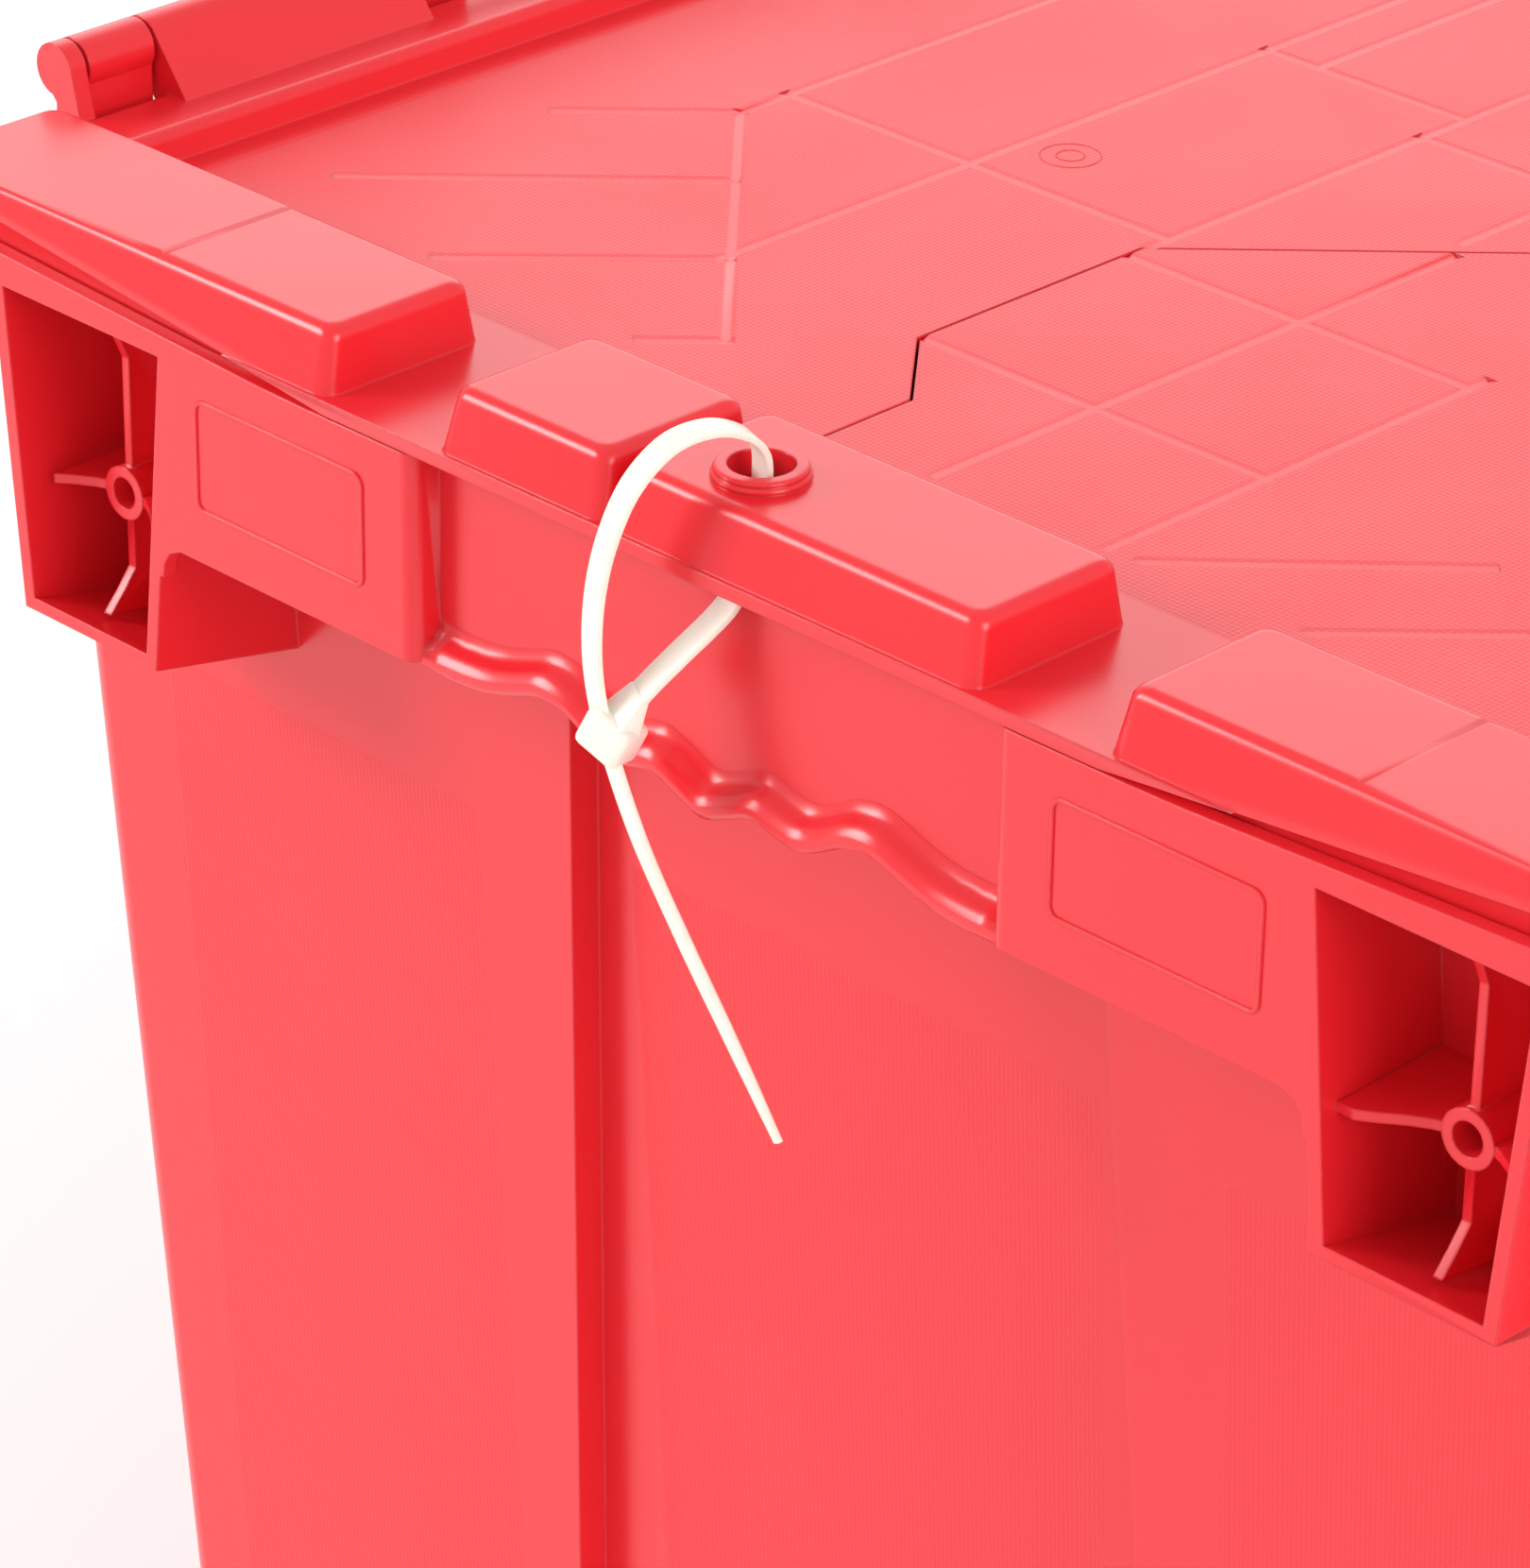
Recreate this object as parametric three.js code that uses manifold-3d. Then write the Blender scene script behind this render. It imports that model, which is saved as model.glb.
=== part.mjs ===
import * as THREE from 'three';
import { mergeVertices } from 'three/addons/utils/BufferGeometryUtils.js';
import Module from 'manifold-3d';

// Attached-lid tote. X runs along the long sides, Y across them, Z up from the floor.
// Sizes are in millimetres. The two lid halves are the same moulding turned half round.

// overall sizes
const totalLength = 555.6;
const totalWidth = 387.4;
const totalHeight = 438.2;

// hinge
const rodRadius = 2.0;
const rodClearance = 0.3;
const barrelRadius = 4.6;
const axisAboveDeck = 12.8;
const knuckleGap = 0.7;
const bracketWidth = 14;
const armWidth = 3.2;
const lidBarrelLength = 56;
const barrelInset = 83.8;

// lid
const deckThickness = 2.4;
const lidWall = 2.4;
const blockHeight = 10.4;
const blockDepth = 31.2;
const blockDraft = 4.0;
const ridgeHeight = 5.5;
const ridgeBand = 16.0;
const middleBlockHalf = 56.2;
const blockGap = 24.0;
const creaseInset = 61.9;
const grooveDepth = 0.5;
const grooveWidth = 3.0;
const grooveMargin = 6.0;
const cornerLift = 6.3;
const cornerFence = 5.8;
const seamGap = 0.5;
const blockSeamGap = 1.4;

// tote
const wall = 3.0;
const rimThickness = 2.6;
const endInset = 26.2;
const sideInset = 9.8;
const endDraft = 26.8;
const sideDraft = 10.6;
const bodyCorner = 7;
const panelRecess = 6.0;
const recessHalfTop = 54.2;
const recessHalfFoot = 76.0;
const restGap = 0.3;
const skirtThickness = 2.8;
const gripHalf = 60.7;
const gripInset = 5.9;
const textPanelDepth = 37.8;
const boxDepth = 59.1;
const boxInset = 27.5;
const boxWidth = 39.6;
const boxInnerSlant = 5.8;
const boxOuterSlant = 5.4;
const boxWall = 2.3;
const boxBrim = 1.7;
const boxCeiling = 1.2;
const edgeRound = 2.5;
const webThickness = 1.7;
const bossRadius = 4.65;
const bossHole = 2.7;
const bossInset = 45.2;
const bossDrop = 39.3;

// eyelet and cable tie
const eyeletInset = 14.2;
const eyeletRadius = 7.6;
const eyeletHole = 5.15;
const eyeletCollar = 2.0;
const strapWidth = 4.8;
const strapThickness = 1.2;
const headSize = [6.6, 8.2, 6.8];

// derived heights and positions
const barrelTopAboveDeck = axisAboveDeck + barrelRadius;
const deckTop = totalHeight - barrelTopAboveDeck;
const deckUnder = deckTop - deckThickness;
const rimTop = deckUnder - restGap;
const rimUnder = rimTop - rimThickness;
const endX = totalLength / 2;
const axisY = totalWidth / 2 - barrelRadius;
const axisZ = deckTop + axisAboveDeck;
const boreRadius = rodRadius + rodClearance;
const lidEdge = axisY - 4.6;
const rimEdge = lidEdge + 1.6;
const ridgeInner = lidEdge - ridgeBand;
const cornerBlockStart = middleBlockHalf + blockGap;
const boxOuterTop = rimEdge - boxInset;
const boxInnerTop = boxOuterTop - boxWidth;
const boxOuterFoot = boxOuterTop - boxOuterSlant;
const boxInnerFoot = boxInnerTop + boxInnerSlant;
const bossSide = rimEdge - bossInset;
const barrelCentres = [-(endX - barrelInset), 0, endX - barrelInset];
const wallX = endX - endInset;
const wallY = totalWidth / 2 - sideInset;
const outerBracketEnd = Math.max(...barrelCentres) + lidBarrelLength / 2 + knuckleGap + bracketWidth;
const rodHalf = outerBracketEnd - 0.2;
const boreHalf = rodHalf + 0.3;

const wasm = await Module();
wasm.setup();

function solid(geometry) {
  const clean = geometry.clone();
  clean.deleteAttribute('normal');
  clean.deleteAttribute('uv');
  const merged = mergeVertices(clean, 1e-5);
  const mesh = new wasm.Mesh({
    numProp: 3,
    vertProperties: new Float32Array(merged.attributes.position.array),
    triVerts: new Uint32Array(merged.index.array),
  });
  return new wasm.Manifold(mesh);
}

function geometryOf(shape) {
  const mesh = shape.getMesh();
  const geometry = new THREE.BufferGeometry();
  geometry.setAttribute('position', new THREE.BufferAttribute(new Float32Array(mesh.vertProperties), 3));
  geometry.setIndex(new THREE.BufferAttribute(new Uint32Array(mesh.triVerts), 1));
  geometry.computeVertexNormals();
  return geometry;
}

function join(list) {
  return list.reduce((sum, next) => sum.add(next));
}

function box(x0, x1, y0, y1, z0, z1) {
  const geometry = new THREE.BoxGeometry(x1 - x0, y1 - y0, z1 - z0);
  geometry.translate((x0 + x1) / 2, (y0 + y1) / 2, (z0 + z1) / 2);
  return solid(geometry);
}

// a flat outline in X and Y raised between two heights
function plate(points, z0, z1) {
  const shape = new THREE.Shape(points.map((p) => new THREE.Vector2(p[0], p[1])));
  const geometry = new THREE.ExtrudeGeometry(shape, { depth: z1 - z0, bevelEnabled: false, steps: 1 });
  geometry.translate(0, 0, z0);
  return solid(geometry);
}

// a flat outline in Y and Z pushed along X
function slab(points, x0, x1) {
  const shape = new THREE.Shape(points.map((p) => new THREE.Vector2(p[0], p[1])));
  const geometry = new THREE.ExtrudeGeometry(shape, { depth: x1 - x0, bevelEnabled: false, steps: 1 });
  const turn = new THREE.Matrix4().makeBasis(
    new THREE.Vector3(0, 1, 0),
    new THREE.Vector3(0, 0, 1),
    new THREE.Vector3(1, 0, 0),
  );
  geometry.applyMatrix4(turn);
  geometry.translate(x0, 0, 0);
  return solid(geometry);
}

// a flat outline in X and Z pushed along Y
function sideSlab(points, y0, y1) {
  const shape = new THREE.Shape(points.map((p) => new THREE.Vector2(p[0], p[1])));
  const geometry = new THREE.ExtrudeGeometry(shape, { depth: y1 - y0, bevelEnabled: false, steps: 1 });
  const turn = new THREE.Matrix4().makeBasis(
    new THREE.Vector3(1, 0, 0),
    new THREE.Vector3(0, 0, 1),
    new THREE.Vector3(0, -1, 0),
  );
  geometry.applyMatrix4(turn);
  geometry.translate(0, y1, 0);
  return solid(geometry);
}

function rodAlongX(x0, x1, y, z, radius, sides) {
  const geometry = new THREE.CylinderGeometry(radius, radius, x1 - x0, sides);
  geometry.rotateZ(Math.PI / 2);
  geometry.translate((x0 + x1) / 2, y, z);
  return solid(geometry);
}

function rodAlongZ(x, y, z0, z1, radius, sides) {
  const geometry = new THREE.CylinderGeometry(radius, radius, z1 - z0, sides);
  geometry.rotateX(Math.PI / 2);
  geometry.translate(x, y, (z0 + z1) / 2);
  return solid(geometry);
}

// a closed skin through rings of equal point counts, each end closed from its middle
function loft(rings) {
  const count = rings[0].length;
  const positions = [];
  const index = [];
  rings.forEach((ring) => ring.forEach((p) => positions.push(p[0], p[1], p[2])));
  for (let level = 0; level < rings.length - 1; level += 1) {
    for (let i = 0; i < count; i += 1) {
      const a = level * count + i;
      const b = level * count + ((i + 1) % count);
      index.push(a, b, b + count, a, b + count, a + count);
    }
  }
  [0, rings.length - 1].forEach((level) => {
    const ring = rings[level];
    const middle = [0, 1, 2].map((axis) => ring.reduce((sum, p) => sum + p[axis], 0) / count);
    const hub = positions.length / 3;
    positions.push(...middle);
    for (let i = 0; i < count; i += 1) {
      const a = level * count + i;
      const b = level * count + ((i + 1) % count);
      if (level === 0) {
        index.push(hub, b, a);
      } else {
        index.push(hub, a, b);
      }
    }
  });
  const geometry = new THREE.BufferGeometry();
  geometry.setAttribute('position', new THREE.Float32BufferAttribute(positions, 3));
  geometry.setIndex(index);
  return solid(geometry);
}

// points round a rectangle with rounded corners, anticlockwise
function roundedOutline(x0, x1, y0, y1, radius, steps) {
  const corners = [
    [x1 - radius, y0 + radius, -Math.PI / 2],
    [x1 - radius, y1 - radius, 0],
    [x0 + radius, y1 - radius, Math.PI / 2],
    [x0 + radius, y0 + radius, Math.PI],
  ];
  const points = [];
  corners.forEach(([cx, cy, start]) => {
    for (let i = 0; i <= steps; i += 1) {
      const angle = start + (Math.PI / 2) * (i / steps);
      points.push([cx + radius * Math.cos(angle), cy + radius * Math.sin(angle)]);
    }
  });
  return points;
}

// the tapering tub: half sizes at the rim shrink by the drafts down to the floor
function tub(halfX, halfY, radius, z0, z1) {
  const ring = (z) => {
    const drop = (rimTop - z) / rimTop;
    const hx = halfX - endDraft * drop;
    const hy = halfY - sideDraft * drop;
    return roundedOutline(-hx, hx, -hy, hy, radius, 6).map((p) => [p[0], p[1], z]);
  };
  return loft([ring(z0), ring(z1)]);
}

// the four-way mirror used for everything that repeats at both ends
function mirrored(shape, overX, overY) {
  const scale = [overX ? -1 : 1, overY ? -1 : 1, 1];
  return shape.scale(scale);
}

// the lids' end edges start to lift beside the corner blocks and are fully up near the corners
const liftStart = cornerBlockStart - 0.2;
const liftRun = lidEdge - 33.5 - liftStart;

// height of the tote's front lip and of the lid's lower edge, both lifting at the corners
function lipTop(y) {
  const t = Math.max(0, (Math.abs(y) - liftStart - 12) / (liftRun - 11));
  return rimTop + 2.7 * Math.min(1.5, t);
}

function lidLower(y) {
  const t = Math.max(0, (Math.abs(y) - liftStart) / liftRun);
  return deckUnder + cornerLift * Math.min(1.25, t ** 0.9);
}

const wallXAt = (z) => wallX - endDraft * ((rimTop - z) / rimTop);

// the sunk middle of both end walls, wider at the foot than under the rim
function recessBand(extra, z0, z1) {
  const halfAt = (z) => recessHalfTop + (recessHalfFoot - recessHalfTop) * ((rimTop - z) / rimTop) + extra;
  return slab([[-halfAt(z0), z0], [halfAt(z0), z0], [halfAt(z1), z1], [-halfAt(z1), z1]], -endX, endX);
}

function makeTote() {
  const outerFull = tub(wallX, wallY, bodyCorner, 0, rimTop);
  const outerLow = tub(wallX - panelRecess, wallY, bodyCorner, 0, rimTop);
  const middle = recessBand(0, -1, rimUnder);
  const outer = outerFull.subtract(middle).add(outerLow);
  const innerFull = tub(wallX - wall, wallY - wall, bodyCorner - wall, 3, rimTop + 1);
  const innerLow = tub(wallX - panelRecess - wall, wallY - wall, bodyCorner - wall, 3, rimTop + 1);
  const innerBand = recessBand(wall, 0, rimUnder - wall);
  const cavity = innerFull.subtract(innerBand).add(innerLow);

  const pieces = [outer];
  const flangeOutline = roundedOutline(-endX, endX, -rimEdge, rimEdge, 12, 6);
  const notch = box(-endX - 1, -endX + gripInset, -gripHalf, gripHalf, rimUnder - 1, rimTop + 1);
  let flange = plate(flangeOutline, rimUnder, rimTop);
  const corner = box(-endX - 1, -endX + edgeRound, -gripHalf - edgeRound, gripHalf + edgeRound, rimUnder - 1,
    rimTop + 1);
  const high = [-1, 1].map((side) => box(-endX + skirtThickness, -wallX - 0.2, Math.min(side * boxInnerTop,
    side * boxOuterTop), Math.max(side * boxInnerTop, side * boxOuterTop), rimUnder - 1, rimTop - boxCeiling));
  const opening = join([notch, corner, ...high]);
  flange = flange.subtract(opening).subtract(mirrored(opening, true, false));
  pieces.push(flange);

  // skirt round the long sides and corners
  const skirtDrop = 15;
  const skirtBand = plate(flangeOutline, rimTop - skirtDrop, rimTop);
  const skirtInner = plate(
    roundedOutline(-endX + skirtThickness, endX - skirtThickness, -rimEdge + skirtThickness,
      rimEdge - skirtThickness, 9.2, 6),
    rimTop - skirtDrop - 1,
    rimTop + 1,
  );
  const skirtStart = boxOuterTop + boxWall - 0.3;
  const ends = box(-endX - 1, endX + 1, -skirtStart, skirtStart, rimTop - skirtDrop - 2, rimTop + 2);
  pieces.push(skirtBand.subtract(skirtInner).subtract(ends));
  [-1, 1].forEach((side) => {
    [-150, -90, -30, 30, 90, 150].forEach((x) => {
      const y0 = side > 0 ? wallY - 4 : -rimEdge + 1;
      const y1 = side > 0 ? rimEdge - 1 : -wallY + 4;
      pieces.push(box(x - 1.2, x + 1.2, y0, y1, rimTop - skirtDrop + 1, rimTop - 1));
    });
  });

  const front = makeToteEnd();
  pieces.push(front, mirrored(front, true, false));
  pieces.push(...makeBrackets(1), ...makeBrackets(-1));
  let body = join(pieces).subtract(cavity);

  // rod bores through the hinge brackets
  [-1, 1].forEach((side) => {
    body = body.subtract(rodAlongX(-boreHalf, boreHalf, side * axisY, axisZ, boreRadius, 24));
  });
  return body;
}

// one end below the rim: text panels, recessed grip with its wavy lip, and two corner boxes
function makeToteEnd() {
  const x0 = -endX;
  const pieces = [];
  const panelFoot = rimTop - textPanelDepth + 2.6;
  [-1, 1].forEach((side) => {
    // text panel with the lip above the corner box, one flat moulding
    const topLine = [];
    const steps = 10;
    const start = gripHalf + edgeRound;
    for (let i = 0; i <= steps; i += 1) {
      const y = start + ((rimEdge - 13) - start) * (i / steps);
      topLine.push([y, lipTop(y)]);
    }
    const brim = [];
    for (let i = 0; i <= 5; i += 1) {
      const y = boxOuterTop + (boxInnerTop + 3 - boxOuterTop) * (i / 5);
      brim.push([y, Math.min(lipTop(y) - boxBrim, rimTop - boxCeiling)]);
    }
    const lowLine = [
      [rimEdge - 13, rimTop - 15],
      [boxOuterTop + boxWall - 0.4, rimTop - 15],
      ...brim,
      [boxInnerTop + 1.1, rimTop - boxCeiling - 0.6],
      [boxInnerTop + 0.1, rimTop - boxCeiling - 2.4],
      [boxInnerTop + 2.6, panelFoot - 6],
      [boxInnerTop + 1.0, panelFoot - 6],
      [boxInnerTop + 0.6, panelFoot - 3.4],
      [boxInnerTop - 0.8, panelFoot - 1.2],
      [boxInnerTop - 3.4, panelFoot],
      [start, panelFoot],
    ];
    const outline = [...topLine, ...lowLine].map((p) => [side * p[0], p[1]]);
    pieces.push(slab(side > 0 ? outline.reverse() : outline, x0, x0 + skirtThickness));

    // step wall beside the grip
    const stepDepth = x0 + gripInset + skirtThickness;
    const post = [];
    for (let i = 0; i <= 6; i += 1) {
      const angle = Math.PI + (Math.PI / 2) * (i / 6);
      post.push([
        x0 + edgeRound + edgeRound * Math.cos(angle),
        gripHalf + edgeRound + edgeRound * Math.sin(angle),
      ]);
    }
    post.push([stepDepth, gripHalf], [stepDepth, gripHalf + edgeRound + 0.1], [x0, gripHalf + edgeRound + 0.1]);
    const sided = side > 0 ? post : post.map((q) => [q[0], -q[1]]).reverse();
    pieces.push(plate(sided, panelFoot, rimTop));

    pieces.push(makeCornerBox(side));
  });

  // grip panel and wavy lip
  const lipDrop = [
    [gripHalf, 37.2], [54, 37.2], [47, 36.6], [41, 34.9], [35, 33.0], [29, 33.8], [24, 36.4], [20, 37.9],
    [15.5, 37.3], [10.5, 36.3], [5, 38.3], [0, 40.0], [-5, 38.3], [-10.5, 36.3], [-15.5, 37.3], [-20, 37.9],
    [-24, 36.4], [-29, 33.8], [-35, 33.0], [-41, 34.9], [-47, 36.6], [-54, 37.2], [-gripHalf, 37.2],
  ];
  const panelX = x0 + gripInset;
  const lipLine = lipDrop.map(([y, drop]) => [y, deckTop - drop]);
  const panelOutline = [[gripHalf, rimTop], ...lipLine.map((p) => [p[0], p[1]]), [-gripHalf, rimTop]];
  pieces.push(slab(panelOutline.reverse(), panelX, panelX + skirtThickness));

  // rolled bead along the lip, swept as rings round a five-sided section
  const rings = [];
  const bead = [
    [2.4, -2.3], [-0.6, -2.5], [-2.2, -2.4], [-3.4, -1.9], [-4.1, -0.9], [-4.2, 0.3], [-3.6, 1.5], [-2.6, 2.3],
    [-1.4, 2.8], [-0.5, 3.7], [-0.1, 5.0], [2.4, 4.6],
  ];
  const curve = new THREE.SplineCurve(lipLine.map((p) => new THREE.Vector2(p[0], p[1])));
  const beadSteps = 72;
  for (let i = 0; i <= beadSteps; i += 1) {
    const point = curve.getPoint(i / beadSteps);
    const reach = gripHalf + 0.5;
    let y = THREE.MathUtils.clamp(point.x, -reach, reach);
    if (i === 0) y = reach;
    if (i === beadSteps) y = -reach;
    rings.push(bead.map(([dx, dz]) => [panelX + dx, y, point.y + dz]));
  }
  pieces.push(loft(rings.reverse()));
  return join(pieces);
}

// open-fronted corner box with a cross of webs and a round boss
function makeCornerBox(side) {
  const x0 = -endX;
  const boxTop = rimTop - 1;
  const footZ = deckTop - boxDepth;
  const underZ = footZ - boxWall;
  const backAt = (z) => -(wallXAt(z) - 1.0);
  const pieces = [];
  const flip = (points) => (side > 0 ? points : points.map((p) => [-p[0], p[1]]).reverse());
  // outline of the opening and of the walls round it
  const opening = (grow, top, foot) => [
    [boxOuterFoot + grow, foot], [boxOuterTop + grow, top],
    [boxInnerTop - grow, top], [boxInnerFoot - grow, foot],
  ];
  const outer = slab(flip(opening(boxWall, boxTop, underZ)), x0, backAt(footZ));
  const inner = slab(flip(opening(0, boxTop + 5, footZ)), x0 - 1, -wallX - 0.2);
  const lower = sideSlab([[x0 - 1, underZ - 12], [backAt(footZ) + 2, underZ - 12],
    [backAt(footZ) + 2, underZ - 7], [x0 - 1, underZ]], -200, 200);
  const lowLeft = boxInnerFoot - boxWall;
  const lowRight = boxOuterFoot + boxWall;
  const sunkOutline = [
    [lowRight, underZ - 9], [lowRight, footZ + 3], [lowLeft, footZ + 3], [lowLeft, underZ - 9],
  ];
  const sunk = slab(flip(sunkOutline), x0, backAt(footZ));
  const sunkInner = sideSlab([[x0 - 1, footZ], [backAt(footZ) - 2, footZ - 7], [backAt(footZ) - 2, footZ + 12],
    [x0 - 1, footZ + 12]], side > 0 ? boxInnerFoot : -boxOuterFoot, side > 0 ? boxOuterFoot : -boxInnerFoot);
  pieces.push(outer.add(sunk.subtract(lower)).subtract(inner).subtract(sunkInner));

  // webs: front edges lie back at the boss and come forward at their ends
  const bossZ = deckTop - bossDrop;
  const bossY = side * bossSide;
  const backX = -wallX + 3;
  const upright = [];
  const depthAt = (t) => 5.2 + 5.6 * Math.min(1, (1 - Math.abs(t)) * 3.2);
  for (let i = 0; i <= 12; i += 1) {
    const t = -1 + i / 6;
    const z = t < 0 ? bossZ + t * (bossZ - footZ + 0.6) : bossZ + t * (boxTop - bossZ);
    upright.push([x0 + depthAt(t), z]);
  }
  const uprightOutline = [...upright, [backX, boxTop], [backX + 4, footZ - 4]];
  pieces.push(sideSlab(uprightOutline.reverse(), bossY - webThickness / 2, bossY + webThickness / 2));

  const level = [];
  const yLow = boxInnerTop + 4;
  const yHigh = boxOuterFoot;
  for (let i = 0; i <= 10; i += 1) {
    const y = yLow + (yHigh - yLow) * (i / 10);
    const t = Math.min(1, Math.abs(y - bossSide) / 14);
    level.push([x0 + 10.8 - 7.4 * t ** 1.8, side * y]);
  }
  const levelOutline = [...level, [backX, side * yHigh], [backX, side * yLow]];
  const levelWeb = plate(side > 0 ? levelOutline.reverse() : levelOutline, bossZ - webThickness / 2,
    bossZ + webThickness / 2);
  pieces.push(levelWeb);
  const boss = rodAlongX(x0 + 9.6, backX, bossY, bossZ, bossRadius, 24);
  const hole = rodAlongX(x0 - 1, x0 + 20, bossY, bossZ, bossHole, 20);
  return join([...pieces, boss]).subtract(hole);
}

// hinge brackets standing from the rim outside the lid's edge
function makeBrackets(side) {
  const pieces = [];
  const halfBarrel = lidBarrelLength / 2;
  barrelCentres.forEach((centre) => {
    [-1, 1].forEach((hand) => {
      const near = centre + hand * (halfBarrel + knuckleGap);
      const far = near + hand * bracketWidth;
      const x0 = Math.min(near, far);
      const x1 = Math.max(near, far);
      const inner = lidEdge + 0.9;
      const outerFace = axisY + barrelRadius;
      const y0 = side > 0 ? inner : -outerFace;
      const y1 = side > 0 ? outerFace : -inner;
      pieces.push(box(x0, x1, y0, y1, rimTop - 15, axisZ));
      pieces.push(rodAlongX(x0, x1, side * axisY, axisZ, barrelRadius, 24));
    });
  });
  return pieces;
}

// the seam between the halves, seen from above, from the visible end to the far end
const seamLine = [
  [-endX, 18.7], [-211.8, 19.2], [-194, 34.7], [-142, 34.7], [-72.6, -34.7], [-34.7, -34.7],
  [34.7, 34.7], [72.6, 34.7], [142, -34.7], [194, -34.7], [211.8, -19.2], [endX, -18.7],
];

// moves an open line sideways by a distance, keeping its corners sharp
function offsetLine(points, distance) {
  const normals = [];
  for (let i = 0; i < points.length - 1; i += 1) {
    const dx = points[i + 1][0] - points[i][0];
    const dy = points[i + 1][1] - points[i][1];
    const length = Math.hypot(dx, dy);
    normals.push([-dy / length, dx / length]);
  }
  return points.map((p, i) => {
    const a = normals[Math.max(0, i - 1)];
    const b = normals[Math.min(normals.length - 1, i)];
    const scale = distance / (1 + a[0] * b[0] + a[1] * b[1]);
    return [p[0] + (a[0] + b[0]) * scale, p[1] + (a[1] + b[1]) * scale];
  });
}

// a raised block with drafted sides and a rounded top edge
function raisedBlock(x0, x1, y0, y1, base, height, inset, draft, round) {
  const rings = [];
  const ring = (z, shrink, forward) => {
    const outline = roundedOutline(
      x0 + inset + forward + shrink, x1 - inset - shrink, y0 + inset + shrink, y1 - inset - shrink,
      Math.max(1.6, 3.0 - shrink * 0.3), 3,
    );
    return outline.map((p) => [p[0], p[1], z]);
  };
  rings.push(ring(base, 0, 0));
  const straightTop = base + height - round;
  const full = height;
  const lean = (z) => ((z - base) / full) * draft;
  rings.push(ring(straightTop, lean(straightTop) * 0.45, lean(straightTop) * 0.4));
  for (let i = 1; i <= 4; i += 1) {
    const angle = (Math.PI / 2) * (i / 4);
    const z = straightTop + round * Math.sin(angle);
    const shrink = lean(straightTop) * 0.45 + round * (1 - Math.cos(angle));
    rings.push(ring(z, shrink, lean(straightTop) * 0.4));
  }
  return loft(rings);
}

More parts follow.
